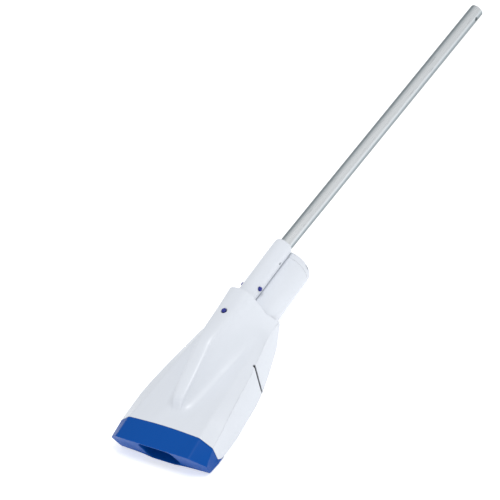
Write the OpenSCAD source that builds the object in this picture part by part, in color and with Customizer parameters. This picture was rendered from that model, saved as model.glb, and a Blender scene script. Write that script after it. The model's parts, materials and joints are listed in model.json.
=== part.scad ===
// Hand-held pool vacuum head with a motor unit, a debris chamber, a push-on nozzle and a pole.
// Origin: on the floor, on the centreline, under the nozzle's top front edge.
// +X is to the right, +Y runs back towards the pole, +Z is up. Millimetres.

/* [Debris chamber] */
// Width across the side ridges where the nozzle joins
body_w = 234; // [228:1:238]
// Height of the flat wings beside the raised spine
wing_z = 68; // [67:0.5:70]
// Height of the spine behind the release button
neck_top_z = 142; // [140:0.5:145]
// Wall thickness of the chamber shells
wall = 2.6; // [2.2:0.1:2.8]
// Gap left along the seam between the two shells
seam_gap = 0.15; // [0.05:0.05:0.3]
// Width of the slot that lets clean water out on each side
vent_slot_w = 6; // [4:0.5:7]

/* [Nozzle] */
// Depth of the nozzle from its top front edge to the chamber
nozzle_l = 50; // [48:1:50]
// Width of the suction mouth
mouth_w = 82; // [70:1:84]
// Height of the suction mouth
mouth_h = 49; // [46:1:50]
// Wall thickness of the nozzle
nozzle_wall = 2.4; // [2:0.1:2.6]

/* [Motor unit] */
// Radius of the nose that plugs into the chamber
nose_r = 39.5; // [39:0.1:39.6]
// Radius of the grip at the neck
grip_r = 46.4; // [46:0.1:46.4]
// Radius of the grip at its rear end
grip_rear_r = 44.6; // [44.2:0.1:44.8]
// Distance from the nozzle to the rear end of the motor unit
unit_end_y = 541; // [536:1:546]
// Number of impeller blades
blade_count = 6; // [4:1:8]
// Number of battery cells
cell_count = 6; // [4:1:6]

/* [Pole] */
// Outside diameter of the pole
pole_d = 30; // [28:0.5:30]
// Wall thickness of the pole
pole_wall = 1.2; // [1:0.1:1.6]
// Length of the pole section
pole_l = 920; // [400:10:1200]
// Outside radius of the pole socket
socket_r = 20.5; // [20.3:0.1:20.8]
// Downward tilt of the pole, in degrees
pole_tilt = 3; // [2:0.25:3.25]
// Radius of the spring-clip buttons
clip_r = 4.6; // [4:0.1:5]

/* [Hidden] */

white_plastic = [0.87, 0.89, 0.92];
blue_plastic = [0.0, 0.31, 0.63];
dark_blue = [0.08, 0.16, 0.55];
inner_grey = [0.55, 0.57, 0.6];
rubber_black = [0.12, 0.12, 0.13];
pole_metal = [0.75, 0.77, 0.79];
steel = [0.6, 0.61, 0.63];
brass = [0.8, 0.65, 0.3];
net_blue = [0.35, 0.55, 0.8];
board_green = [0.1, 0.4, 0.25];

run_gap = 0.05;    // radial gap of a turning or sliding fit
fit_gap = 0.4;     // gap round plastic parts that plug together
overlap = 1;       // how far a cut or a rib runs past the face it meets
round_fn = 96;
small_fn = 40;

// ---- Debris chamber loft -------------------------------------------------
half_w = body_w / 2;
body_front_y = nozzle_l;
neck_end_y = 379;
unit_z = 49.5;       // axis of the motor unit
socket_z = 110;      // axis of the pole socket

// One row per design section along the chamber:
// y, crown z, spine edge x and z, wing foot x and z, chamfer x and z, ridge x and z, base x,
// radius of the lower corner, scoop of the spine's side
SECTIONS = [
  [body_front_y, wing_z - 1, 8, wing_z - 1.2, 30, wing_z - 1, half_w - 27, wing_z - 1.5, half_w - 0.5, 46, half_w + 1.5, 5, 0],
  [95, wing_z + 0.5, 9, wing_z + 0.2, 30, wing_z, half_w - 33, wing_z - 0.5, half_w - 3.5, 51.5, half_w + 1.5, 5, 0.2],
  [102, wing_z + 7, 11, wing_z + 5, 30, wing_z, half_w - 34, wing_z, half_w - 4.2, 52.5, half_w + 1.4, 5, 0.5],
  [109, wing_z + 17, 12.5, wing_z + 12, 31, wing_z, half_w - 34.5, wing_z, half_w - 5, 53.5, half_w + 1.2, 5, 0.6],
  [120, wing_z + 25, 13.5, wing_z + 19, 33, wing_z + 0.5, half_w - 36, wing_z, half_w - 6.2, 55, half_w + 1, 5, 0.7],
  [155, wing_z + 38, 15, wing_z + 33, 38, wing_z + 1, half_w - 38, wing_z + 0.5, half_w - 11, 57.5, half_w - 3, 5, 0.8],
  [207, wing_z + 56, 16, wing_z + 50, 44, wing_z + 2, half_w - 41, wing_z + 1, 98.5, 58.5, 108.5, 5, 0.8],
  [235, wing_z + 67, 17.5, wing_z + 58, 48, wing_z + 3, 74, wing_z + 1.5, 94, 58.5, 102.8, 6, 0.75],
  [262, neck_top_z - 3.5, 19.5, 129, 51, wing_z + 4, 72, wing_z + 1, 88.8, 59.5, 96, 7, 0.65],
  [317, neck_top_z - 3.5, 25.5, 124, 52, wing_z + 8, 66, 68, 77, 60.5, 79, 10, 0.3],
  [350, neck_top_z - 2, 28.5, 122, 48.5, 79, 58, 61, 64.5, 51.5, 66.7, 15, 0.1],
  [neck_end_y, neck_top_z, 31, 121, 46.5, 80, 51.5, 60, 55, 40, 48.5, 36, 0]
];
last_row = len(SECTIONS) - 1;
steps_between = 2;          // loft steps between two design sections
crown_steps = 3;
flank_steps = 4;
corner_steps = 5;
lean_start_y = 330;         // the loft starts to lean back here
lean_top_z = 78;            // and only below this height
rim_lean = 36;              // how far back the rear rim reaches at the floor

function mix(a, b, t) = a + (b - a) * t;

// Slope of one column at a row, from its neighbours
function slope(i, col) =
  let (a = max(i - 1, 0), b = min(i + 1, last_row))
  (SECTIONS[b][col] - SECTIONS[a][col]) / (SECTIONS[b][0] - SECTIONS[a][0]);

// Smooth value of one column between row i and the next, t from 0 to 1
function between(i, t, col) =
  let (
    h = SECTIONS[i + 1][0] - SECTIONS[i][0],
    a = SECTIONS[i][col],
    b = SECTIONS[i + 1][col],
    c = t * t * (3 - 2 * t),
    run_a = t * (1 - t) * (1 - t),
    run_b = t * t * (t - 1)
  )
  mix(a, b, c) + h * (run_a * slope(i, col) + run_b * slope(i + 1, col));

function section_at(i, t) =
  [for (col = [0:12]) col == 0 ? mix(SECTIONS[i][0], SECTIONS[i + 1][0], t) : between(i, t, col)];

LOFT = concat(
  [for (i = [0:last_row - 1]) for (k = [0:steps_between - 1]) section_at(i, k / steps_between)],
  [SECTIONS[last_row]]
);

// The section whose y is nearest to the value given, for parts that follow the chamber
function row_index(y) = max([for (i = [0:last_row - 1]) SECTIONS[i][0] <= y ? i : 0]);
function section_y(y) =
  let (i = row_index(y))
  section_at(i, (y - SECTIONS[i][0]) / (SECTIONS[i + 1][0] - SECTIONS[i][0]));

// How much wider than the wall a sloping face makes it, measured flat
function flat_factor(dx, dz) = sqrt(dx * dx + dz * dz) / abs(dz);

// Right half of the roof, from the crown to the ridge, moved inwards by inset
function roof_half(s, inset) =
  let (
    top = s[1] - inset,
    ex = s[2] - inset * 0.8,
    ez = s[3] - inset * 0.75,
    fx = s[4] - inset * 0.5,
    fz = s[5] - inset,
    cx = s[6] - inset * 0.35,
    cz = s[7] - inset * 0.97,
    rx = s[8] - inset * flat_factor(s[8] - s[6], s[9] - s[7]),
    rz = s[9],
    kx = mix((ex + fx) / 2, ex + 0.1 * (fx - ex), s[12]),
    kz = mix((ez + fz) / 2, fz + 0.05 * (ez - fz), s[12])
  )
  concat(
    [for (k = [0:crown_steps - 1])
      let (a = 90 * k / crown_steps)
      [ex * sin(a), ez + (top - ez) * cos(a)]],
    [for (k = [0:flank_steps])
      let (t = k / flank_steps)
      [
        (1 - t) * (1 - t) * ex + 2 * t * (1 - t) * kx + t * t * fx,
        (1 - t) * (1 - t) * ez + 2 * t * (1 - t) * kz + t * t * fz
      ]],
    [[cx, cz], [rx, rz]]
  );

// Right half of the tray, from the ridge to the floor's centre, moved inwards by inset
function tray_half(s, inset) =
  let (r = s[11] - inset, bx = s[10] - inset - r)
  concat(
    [[s[8] - inset, s[9] - seam_gap]],
    [for (k = [0:corner_steps]) let (a = 90 * k / corner_steps) [bx + r * cos(a), inset + r - r * sin(a)]],
    [[0, inset]]
  );

function mirrored(half, skip) =
  concat(
    [for (i = [len(half) - 1:-1:skip]) [-half[i][0], half[i][1]]],
    half
  );
// Height of the middle of the roof's wall above a point of the floor
function roof_z(x, y) = lookup(x, roof_half(section_y(y), wall / 2));
function roof_ring(s, inset) = mirrored(roof_half(s, inset), 1);
function reversed(list) = [for (i = [len(list) - 1:-1:0]) list[i]];
function tray_ring(s, inset) =
  let (half = tray_half(s, inset), turned = reversed(half))
  concat([for (p = half) [-p[0], p[1]]], [for (i = [1:len(turned) - 1]) turned[i]]);

// Below lean_top_z the rear rim leans back towards the floor
function lean(y, z) =
  y <= lean_start_y || z >= lean_top_z ? 0
  : rim_lean * pow((y - lean_start_y) / (neck_end_y - lean_start_y), 2) * (1 - z / lean_top_z);

// Closed skin between an outer and an inner set of rings
module skin(outer, inner) {
  rows = len(outer);
  m = len(outer[0]);
  function at(r, side, j) = (r * 2 + side) * m + j;
  function quad(a, b, c, d) = [[a, b, c], [a, c, d]];
  points = [for (r = [0:rows - 1]) for (ring = [outer[r], inner[r]]) for (p = ring) p];
  faces = concat(
    [for (r = [0:rows - 2]) for (j = [0:m - 2])
      for (f = quad(at(r, 0, j), at(r, 0, j + 1), at(r + 1, 0, j + 1), at(r + 1, 0, j))) f],
    [for (r = [0:rows - 2]) for (j = [0:m - 2])
      for (f = quad(at(r, 1, j + 1), at(r, 1, j), at(r + 1, 1, j), at(r + 1, 1, j + 1))) f],
    [for (r = [0:rows - 2])
      for (f = quad(at(r, 1, 0), at(r, 0, 0), at(r + 1, 0, 0), at(r + 1, 1, 0))) f],
    [for (r = [0:rows - 2])
      for (f = quad(at(r, 0, m - 1), at(r, 1, m - 1), at(r + 1, 1, m - 1), at(r + 1, 0, m - 1))) f],
    [for (j = [0:m - 2]) for (f = quad(at(0, 0, j + 1), at(0, 0, j), at(0, 1, j), at(0, 1, j + 1))) f],
    [for (j = [0:m - 2])
      for (f = quad(at(rows - 1, 0, j), at(rows - 1, 0, j + 1), at(rows - 1, 1, j + 1), at(rows - 1, 1, j))) f]
  );
  polyhedron(points, faces, convexity = 8);
}

function roof_rings(inset) =
  [for (s = LOFT) [for (p = reversed(roof_ring(s, inset))) [p[0], s[0] + lean(s[0], p[1]), p[1]]]];
function tray_rings(inset) =
  [for (s = LOFT) [for (p = tray_ring(s, inset)) [p[0], s[0] + lean(s[0], p[1]), p[1]]]];

// Whole inside outline of the chamber at one y, as a flat shape standing in the XZ plane
module chamber_outline(y, inset) {
  s = section_y(y);
  polygon(concat(roof_ring(s, inset), reversed(tray_ring(s, inset))));
}
// Turns a flat XZ shape into a plate from y0 to y1
module plate_y(y0, y1) {
  translate([0, y1, 0]) rotate([90, 0, 0]) linear_extrude(y1 - y0) children();
}
// Cylinder along Y round the motor unit's axis
module unit_rod(r, y0, y1, r_end = undef) {
  translate([0, y0, unit_z]) rotate([-90, 0, 0])
    cylinder(r1 = r, r2 = is_undef(r_end) ? r : r_end, h = y1 - y0, $fn = round_fn);
}
module unit_ring(r, r_in, y0, y1) {
  difference() {
    unit_rod(r, y0, y1);
    unit_rod(r_in, y0 - overlap, y1 + overlap);
  }
}

// ---- Places shared by several parts --------------------------------------
screw_spots = [[70, 86], [70, 190], [55, 300]];   // right-hand screws; the left side mirrors them
boss_r = 4;
boss_foot = 6.2;
screw_r = 1.5;
screw_head_r = 3.2;
screw_head_h = 2.4;
screw_head_z = 0.5;
screw_tip_z = 26;

cover_y0 = 222;            // front face of the intake cover
nose_y0 = 234;             // front end of the moulded nose
bulkhead_y0 = 224.5;
bulkhead_y1 = 227;
bulkhead_hole_r = nose_r + 0.65;
seal_y = (bulkhead_y0 + bulkhead_y1) / 2;
seal_wire = 1.05;
partition_y0 = 252;
partition_y1 = 256;
nose_bore_r = nose_r - 2.6;
shaft_r = 2.5;
shaft_seal_r = 8;          // pocket of the shaft seal
motor_screw_x = 16;
motor_screw_r = 1.45;
grip_bore_r = grip_rear_r - 4.6;
grip_y0 = 364;             // front end of the grip and of the plug that fills the chamber's rim
plug_y1 = 378;
rim_round = 8;             // rounding of the rear rim, shared by the housing and the end cap
cap_l = 17;
cap_y0 = unit_end_y - cap_l;
flange_l = 3.8;            // part of the end cap that is wider than the bore
socket_y0 = 330;
socket_y1 = 536;
socket_front_r = 19;       // the socket is thinner inside the chamber's neck

// Profile of the rounded rear rim from angle a0 to a1, as radius against Y
function rear_rim(a0, a1) =
  [for (a = [a0:10:a1]) [grip_rear_r - rim_round * (1 - cos(a)), unit_end_y - rim_round * (1 - sin(a))]];

latch_y = 338;             // pivot of the release lever
latch_z = 133.2;
latch_pin_r = 1.5;
button_y = 317;
button_r = 5;
lever_half = 4;
lever_t = 3;
tooth_y = 351;
tooth_z = 127.8;
vent_y = 237;
vent_z = 5;
vent_x = 84;
vent_lean = 20;

cap_seal_y = cap_y0 + 2.5; // O-ring of the end cap, inboard of its lugs
button_bore_r = 9.3;       // hole for the power button
contact_x = 17;
contact_r = 2.5;

duct_end_y = nozzle_l + 6;
flap_y = duct_end_y + 2.9;
flap_z = 55.5;
flap_pin_r = 1.5;
flap_hub_r = 2.8;
mouth_floor = 3;
nozzle_back = nozzle_l - 0.2;   // the nozzle stops just short of the chamber

pole_mid_y = 464;          // the tilted bore crosses the socket's axis here
pole_start = -70;          // lower end of the pole, measured along it
clip_at = -53;             // spring-clip buttons, measured along the pole
spare_hole_at = 25;
pole_r = pole_d / 2;

// Children stand in the pole's own frame, with +Y along the pole
module on_pole() {
  translate([0, pole_mid_y, socket_z]) rotate([-pole_tilt, 0, 0]) children();
}
module rod_y(r, y0, y1) {
  translate([0, y0, 0]) rotate([-90, 0, 0]) cylinder(r = r, h = y1 - y0, $fn = round_fn);
}
module rod_x(r, x0, x1) {
  translate([x0, 0, 0]) rotate([0, 90, 0]) cylinder(r = r, h = x1 - x0, $fn = small_fn);
}
module each_side() {
  children();
  mirror([1, 0, 0]) children();
}

// ---- Debris chamber ------------------------------------------------------
module vent_cut() {
  each_side()
    translate([vent_x, vent_y, vent_z]) rotate([-vent_lean, 0, 0]) cube([30, vent_slot_w, 70]);
}
module lever_ear() {
  ear_foot_z = 130.2;
  ear_t = 2.5;
  ear_l = 8;
  ear_h = 6.4;
  translate([lever_half + 0.6, latch_y - ear_l / 2, ear_foot_z]) cube([ear_t, ear_l, ear_h]);
}

module upper_shell() {
  color(white_plastic)
    difference() {
      union() {
        skin(roof_rings(0), roof_rings(wall));
        each_side() {
          for (p = screw_spots)
            translate([p[0], p[1], boss_foot]) cylinder(r = boss_r, h = roof_z(p[0], p[1]) - boss_foot, $fn = small_fn);
          lever_ear();
        }
      }
      each_side()
        for (p = screw_spots)
          translate([p[0], p[1], boss_foot - overlap])
            cylinder(r = screw_r + run_gap, h = screw_tip_z + 3 - boss_foot, $fn = small_fn);
      translate([0, latch_y, latch_z]) rod_x(latch_pin_r + run_gap, -10, 10);
      translate([0, button_y, latch_z]) cylinder(r = button_r + 0.7, h = 20, $fn = small_fn);
      vent_cut();
    }
}

module lower_shell() {
  pillar_r = 5.5;
  notch_z = 4.3;
  notch_y = nozzle_l + 17.4;
  rib_gap = 0.2;
  color(white_plastic)
    difference() {
      union() {
        skin(tray_rings(0), tray_rings(wall));
        each_side() {
          for (p = screw_spots) translate([p[0], p[1], 0]) cylinder(r = pillar_r, h = 6, $fn = small_fn);
          for (y = [bulkhead_y0 - rib_gap - 2, bulkhead_y1 + rib_gap])
            translate([50, y, 2]) cube([42, 2, 6]);
        }
      }
      each_side()
        for (p = screw_spots) translate([p[0], p[1], -overlap]) {
          cylinder(r = screw_r + 0.4, h = 10, $fn = small_fn);
          cylinder(r = screw_head_r + 0.4, h = overlap + screw_head_z + screw_head_h, $fn = small_fn);
        }
      translate([-half_w - 10, 0, -overlap]) cube([body_w + 20, notch_y, overlap + notch_z]);
      vent_cut();
    }
}

module shell_screws() {
  color(steel)
    each_side()
      for (p = screw_spots) translate([p[0], p[1], screw_head_z])
        difference() {
          union() {
            cylinder(r = screw_head_r, h = screw_head_h, $fn = small_fn);
            cylinder(r = screw_r, h = screw_tip_z - screw_head_z, $fn = small_fn);
          }
          for (turn = [0, 90]) rotate(turn) translate([-2, -0.4, -overlap]) cube([4, 0.8, overlap + 1.2]);
        }
}

module chamber_bulkhead() {
  color(inner_grey)
    difference() {
      plate_y(bulkhead_y0, bulkhead_y1) chamber_outline(seal_y, wall + 1);
      unit_rod(bulkhead_hole_r, bulkhead_y0 - overlap, bulkhead_y1 + overlap);
    }
}

module release_lever() {
  lever_l = 44;
  hub_r = 2.6;
  tooth_half = 3.6;
  tooth_l = 5;
  color(inner_grey)
    difference() {
      union() {
        translate([-lever_half, button_y - 5, latch_z - lever_t / 2]) cube([2 * lever_half, lever_l, lever_t]);
        translate([0, latch_y, latch_z]) rod_x(hub_r, -lever_half, lever_half);
        translate([-tooth_half, tooth_y, tooth_z]) cube([2 * tooth_half, tooth_l, latch_z - tooth_z]);
      }
      translate([0, latch_y, latch_z]) rod_x(latch_pin_r + run_gap, -10, 10);
    }
}

module release_button() {
  foot_z = latch_z + lever_t / 2;
  top_z = 141;
  color(dark_blue)
    translate([0, button_y, foot_z]) {
      cylinder(r = button_r - 0.1, h = top_z - foot_z - 1, $fn = small_fn);
      translate([0, 0, top_z - foot_z - 1]) cylinder(r1 = button_r - 0.1, r2 = button_r - 1.6, h = 1, $fn = small_fn);
    }
}

module lever_pin() {
  pin_half = 7;
  color(steel) translate([0, latch_y, latch_z]) rod_x(latch_pin_r, -pin_half, pin_half);
}

// Round-wire coil standing on the XY plane
module coil(r, wire, height, turns) {
  around = 12;
  sides = 6;
  count = turns * around;
  ring = [for (i = [0:count]) for (k = [0:sides - 1])
    let (a = 360 * i / around, b = 360 * k / sides, rr = r + wire * cos(b))
    [rr * cos(a), rr * sin(a), wire + (height - 2 * wire) * i / count + wire * sin(b)]];
  walls = [for (i = [0:count - 1]) for (k = [0:sides - 1])
    let (n = (k + 1) % sides, p = i * sides, q = p + sides)
    [p + k, q + k, q + n, p + n]];
  ends = [[for (k = [0:sides - 1]) k], [for (k = [sides - 1:-1:0]) count * sides + k]];
  polyhedron(ring, concat(walls, ends), convexity = 6);
}

module lever_spring() {
  spring_y = 349;
  coil_r = 2.2;
  wire_r = 0.25;
  spring_h = 2.1;
  color(steel) translate([0, spring_y, latch_z + lever_t / 2 + run_gap]) coil(coil_r, wire_r, spring_h, 2);
}

// ---- Nozzle --------------------------------------------------------------
// Solid block of the nozzle, moved inwards by inset on every side
module nozzle_block(inset, rear) {
  top_half = 92 - inset;
  top_z = 60 - inset;
  corner_half = 121.5 - inset * 1.2;
  corner_y = 11.5 + inset;
  corner_z = 32;
  corner_h = 2;
  floor_half = 114 - inset;
  floor_y = 20 + inset;
  thin = 0.2;
  hull() {
    plate_y(rear - thin, rear) chamber_outline(body_front_y, inset);
    translate([-top_half, inset, top_z - thin]) cube([2 * top_half, thin, thin]);
    translate([-corner_half, corner_y, corner_z]) cube([2 * corner_half, thin, corner_h]);
    translate([-floor_half, floor_y, inset]) cube([2 * floor_half, thin, thin]);
  }
}
// Funnel from the mouth to the flap, grown outwards by grow
module duct(grow, y0, y1) {
  rear_half = mouth_w / 2 - 2;
  rear_floor = 7.5;
  rear_top = 50;
  thin = 0.2;
  hull() {
    translate([-mouth_w / 2 - grow, y0, mouth_floor - grow])
      cube([mouth_w + 2 * grow, thin, mouth_h + 2 * grow]);
    translate([-rear_half - grow, y1 - thin, rear_floor - grow])
      cube([2 * (rear_half + grow), thin, rear_top - rear_floor + 2 * grow]);
  }
}
module flap_ear() {
  ear_t = 2.6;
  ear_l = 14;
  ear_h = 10;
  ear_y0 = duct_end_y - 8;
  ear_foot_z = 49;
  translate([mouth_w / 2 - 1.6, ear_y0, ear_foot_z])
    difference() {
      cube([ear_t, ear_l, ear_h]);
      translate([0, flap_y - ear_y0, flap_z - ear_foot_z]) rod_x(flap_pin_r + run_gap, -overlap, ear_t + overlap);
    }
}

skirt_inset = wall + 1.7;
skirt_y = nozzle_l + 12;
tab_h = 4;                 // tab under the nozzle that closes the notch in the tray
// Outline that clears the chamber's inside all along the skirt
module skirt_outline(inset) {
  intersection() {
    chamber_outline(body_front_y, inset);
    chamber_outline(skirt_y, inset);
  }
}
module nozzle() {
  flange_y0 = nozzle_l - 3;
  skirt_t = 1.3;
  tab_l = 22;
  lip_l = 6;
  lip_t = 2.4;
  color(blue_plastic)
    difference() {
      union() {
        difference() {
          nozzle_block(0, nozzle_back);
          nozzle_block(nozzle_wall, nozzle_l + overlap);
        }
        difference() {
          union() {
            plate_y(flange_y0, skirt_y) skirt_outline(skirt_inset);
            plate_y(flange_y0, nozzle_back) chamber_outline(body_front_y, overlap);
          }
          plate_y(flange_y0 - overlap, skirt_y + overlap) skirt_outline(skirt_inset + skirt_t);
        }
        translate([-half_w - 0.5, nozzle_l - 5, 0]) cube([body_w + 1, tab_l, tab_h]);
        intersection() {
          duct(nozzle_wall, 0, duct_end_y);
          union() {
            nozzle_block(0, nozzle_back);
            translate([-60, nozzle_l - 2, 0]) cube([120, 12, 60]);
          }
        }
        translate([-mouth_w / 2 - 2, 15.5, mouth_floor - lip_t]) cube([mouth_w + 4, lip_l, lip_t]);
        each_side() flap_ear();
      }
      duct(0, -overlap, duct_end_y + overlap / 4);
    }
}

module nozzle_skirt_seal() {
  seal_w = 2;
  seal_proud = 0.4;
  mid_y = nozzle_l + 8;
  color(rubber_black)
    difference() {
      plate_y(mid_y - seal_w / 2, mid_y + seal_w / 2)
        offset(delta = seal_proud) skirt_outline(skirt_inset);
      plate_y(mid_y - seal_w, mid_y + seal_w)
        offset(delta = run_gap) skirt_outline(skirt_inset);
      translate([-half_w, nozzle_l, -overlap]) cube([body_w, 20, tab_h + 0.5 + overlap]);
    }
}

module inlet_flap() {
  flap_half = mouth_w / 2 - 2;
  foot_z = 5.8;
  plate_y0 = duct_end_y + 0.5;
  color(rubber_black)
    difference() {
      union() {
        translate([-flap_half, plate_y0, foot_z]) cube([2 * flap_half, 2, flap_z - foot_z]);
        translate([0, flap_y, flap_z]) rod_x(flap_hub_r, -flap_half, flap_half);
        for (x = [-20, 0, 20]) translate([x - 1, plate_y0 + 1, foot_z + 4]) cube([2, 3, flap_z - foot_z - 4]);
      }
      translate([0, flap_y, flap_z]) rod_x(flap_pin_r + run_gap, -60, 60);
    }
}

module flap_pin() {
  color(steel) translate([0, flap_y, flap_z]) rod_x(flap_pin_r, -mouth_w / 2 - 0.8, mouth_w / 2 + 0.8);
}

// ---- Motor unit ----------------------------------------------------------
module discharge_windows() {
  window_count = 6;
  for (i = [0:window_count - 1])
    translate([0, 238, unit_z]) rotate([0, i * 360 / window_count, 0])
      translate([-9, 0, nose_bore_r - 4]) cube([18, 11, 12]);
}
lug_y0 = cap_y0 + 6.2;     // bayonet lugs of the end cap
lug_l = 3.4;
lug_r = grip_bore_r + 1.2;
module bayonet_cuts() {
  side_half = 36;
  slot_half = 8;
  intersection() {
    unit_ring(lug_r + 0.2, grip_bore_r - overlap, lug_y0 - fit_gap, lug_y0 + lug_l + fit_gap);
    translate([-60, lug_y0 - overlap, unit_z - side_half]) cube([120, lug_l + 2, 2 * side_half]);
  }
  for (side = [0, 180])
    translate([0, lug_y0 + 1, unit_z]) rotate([0, side + 45, 0])
      intersection() {
        rod_y(lug_r + 0.2, 0, 20);
        translate([0, 0, -slot_half]) cube([60, 20, 2 * slot_half]);
      }
}

// Outside of the grip, with a fine groove round it and a rounded rear rim
module grip_body() {
  groove_half = 0.35;
  groove_r = grip_rear_r - 0.4;
  rim = rear_rim(0, 50);
  translate([0, 0, unit_z]) rotate([-90, 0, 0])
    rotate_extrude($fn = round_fn)
      polygon(concat(
        [[0, grip_y0], [grip_r, grip_y0]],
        [[grip_rear_r + 0.1, cap_y0 - groove_half], [groove_r, cap_y0 - groove_half]],
        [[groove_r, cap_y0 + groove_half], [grip_rear_r + 0.1, cap_y0 + groove_half]],
        rim,
        [[0, rim[len(rim) - 1][1]]]
      ));
}

module socket_body() {
  mouth_round = 3;
  translate([0, 0, socket_z]) {
    rod_y(socket_front_r, socket_y0, plug_y1);
    rod_y(socket_r, plug_y1, socket_y1 - mouth_round);
    translate([0, socket_y1 - mouth_round, 0]) rotate([-90, 0, 0])
      cylinder(r1 = socket_r, r2 = socket_r - 1.5, h = mouth_round, $fn = round_fn);
  }
}

module motor_housing() {
  keyway_z = 126.4;
  notch_l = 3;
  notch_half = 6;
  color(white_plastic)
    difference() {
      union() {
        unit_rod(nose_r, nose_y0, neck_end_y);
        grip_body();
        intersection() {
          plate_y(grip_y0, plug_y1) chamber_outline(plug_y1, wall + fit_gap + 0.2);
          plate_y(grip_y0, plug_y1) chamber_outline(grip_y0, wall + fit_gap + 0.2);
        }
        socket_body();
      }
      unit_rod(nose_bore_r, nose_y0 - overlap, partition_y0);
      unit_rod(nose_bore_r, partition_y1, neck_end_y + overlap);
      unit_rod(grip_bore_r, neck_end_y, unit_end_y + overlap);
      unit_rod(grip_bore_r + 1, unit_end_y - flange_l - 0.2, unit_end_y + overlap);
      unit_rod(shaft_seal_r, partition_y0 - overlap, partition_y0 + 3);
      unit_rod(shaft_r + 0.8, partition_y0, partition_y1 + overlap);
      for (side = [-1, 1])
        translate([side * motor_screw_x, partition_y0 - overlap, unit_z]) rod_y(motor_screw_r + 0.25, 0, 6);
      discharge_windows();
      bayonet_cuts();
      each_side()
        translate([0, unit_end_y - 8, unit_z]) rotate([0, -12, 0])
          translate([grip_rear_r - 2.2, 0, -notch_half]) cube([8, notch_l, 2 * notch_half]);
      on_pole() {
        rod_y(pole_r + 0.2, pole_start - 2, 100);
        translate([0, clip_at, 0]) rod_x(clip_r + 0.3, -40, 40);
        translate([0, spare_hole_at, 0]) rod_x(3, -40, 40);
      }
      translate([0, 0, socket_z]) rod_y(pole_r - 2.5, socket_y0 - overlap, pole_mid_y + pole_start);
      translate([-lever_half - 0.2, socket_y0 - overlap, keyway_z]) cube([2 * lever_half + 0.4, 29, 10]);
    }
}

module intake_cover() {
  eye_r = 16;
  rim_t = 3;
  face_t = 3;
  guard_t = 2;
  hub_r = 8;
  hub_in_r = 6.4;
  spoke_half = 0.8;
  color(inner_grey) {
    difference() {
      unit_rod(nose_r, cover_y0, nose_y0);
      unit_rod(nose_r - rim_t, cover_y0 + face_t, nose_y0 + overlap);
      unit_rod(eye_r, cover_y0 - overlap, nose_y0);
      unit_ring(nose_r + overlap, nose_r - 1.6, seal_y - 1.15, seal_y + 1.15);
    }
    unit_ring(hub_r, hub_in_r, cover_y0, cover_y0 + guard_t);
    for (turn = [0:60:120])
      translate([0, cover_y0, unit_z]) rotate([0, turn, 0])
        for (side = [-1, 1])
          translate([side > 0 ? hub_r - overlap : -eye_r - overlap, 0, -spoke_half])
            cube([eye_r - hub_r + 2 * overlap, guard_t, 2 * spoke_half]);
  }
}

module nose_seal() {
  color(rubber_black)
    translate([0, seal_y, unit_z]) rotate([-90, 0, 0])
      rotate_extrude($fn = round_fn) translate([bulkhead_hole_r - run_gap - seal_wire, 0]) circle(r = seal_wire, $fn = 24);
}

module filter_hoop() {
  hoop_in_r = 32.5;
  hoop_l = 8;
  color(dark_blue) unit_ring(nose_r - 2.5, hoop_in_r, cover_y0 - hoop_l, cover_y0);
}

module filter_bag() {
  bag_mouth_r = 32;
  bag_tip_r = 20;
  bag_y0 = 112;
  bag_y1 = cover_y0 - 1;
  cloth = 1.2;
  tip_round = 8;
  l = bag_y1 - bag_y0;
  color(net_blue)
    translate([0, bag_y0, unit_z]) rotate([-90, 0, 0])
      rotate_extrude($fn = round_fn)
        polygon([
          [0, 0], [bag_tip_r - tip_round, 0], [bag_tip_r - 2, 2.5], [bag_tip_r, tip_round],
          [bag_mouth_r, l], [bag_mouth_r - cloth, l],
          [bag_tip_r - cloth, tip_round + cloth], [bag_tip_r - tip_round, cloth], [0, cloth]
        ]);
}

module impeller() {
  back_y0 = 248.4;
  back_y1 = 250.6;
  blade_y0 = 238.5;
  blade_r = 14;
  wheel_r = 31;
  color(inner_grey)
    difference() {
      union() {
        unit_rod(wheel_r, back_y0, back_y1);
        unit_rod(8, blade_y0 + 1, back_y1 + 0.6);
        for (i = [0:blade_count - 1])
          translate([0, blade_y0, unit_z]) rotate([-90, 360 * i / blade_count, 0])
            intersection() {
              translate([blade_r + 2.4, 0, 0])
                difference() {
                  cylinder(r = blade_r, h = back_y0 - blade_y0 + 0.5, $fn = small_fn);
                  translate([0, 0, -overlap]) cylinder(r = blade_r - 1.6, h = 20, $fn = small_fn);
                }
              translate([0, 0, -overlap]) cube([wheel_r, wheel_r, 20]);
            }
      }
      unit_rod(shaft_r + 0.01, blade_y0, back_y1 + 3);
    }
}

module motor_shaft() {
  shaft_y0 = 238.8;
  shaft_y1 = 321;
  color(steel) unit_rod(shaft_r, shaft_y0, shaft_y1);
}
module shaft_seal() {
  color(rubber_black) unit_ring(shaft_seal_r - 0.02, shaft_r + run_gap, partition_y0 + 0.1, partition_y0 + 2.95);
}

motor_end_y = 318;
module motor_can() {
  motor_r = 26;
  color(steel)
    difference() {
      union() {
        unit_rod(motor_r, partition_y1, motor_end_y);
        unit_rod(9, motor_end_y - overlap, motor_end_y + 5);
      }
      unit_rod(motor_r - 1.5, partition_y1 + 3, motor_end_y - 3);
      unit_rod(shaft_r + run_gap, partition_y1 - overlap, motor_end_y + 10);
      for (side = [-1, 1]) translate([side * motor_screw_x, partition_y1 - overlap, unit_z]) rod_y(motor_screw_r + run_gap, 0, 8);
      for (turn = [0:45:135])
        translate([0, motor_end_y - 8, unit_z]) rotate([0, turn, 0]) translate([-40, 0, -2]) cube([80, 4, 4]);
    }
}

module motor_screws() {
  head_r = 2.8;
  head_h = 1.2;
  color(steel)
    for (side = [-1, 1]) translate([side * motor_screw_x, 0, unit_z]) {
      rod_y(motor_screw_r, partition_y0, partition_y1 + 3);
      rod_y(head_r, partition_y0 - head_h, partition_y0);
    }
}

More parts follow.
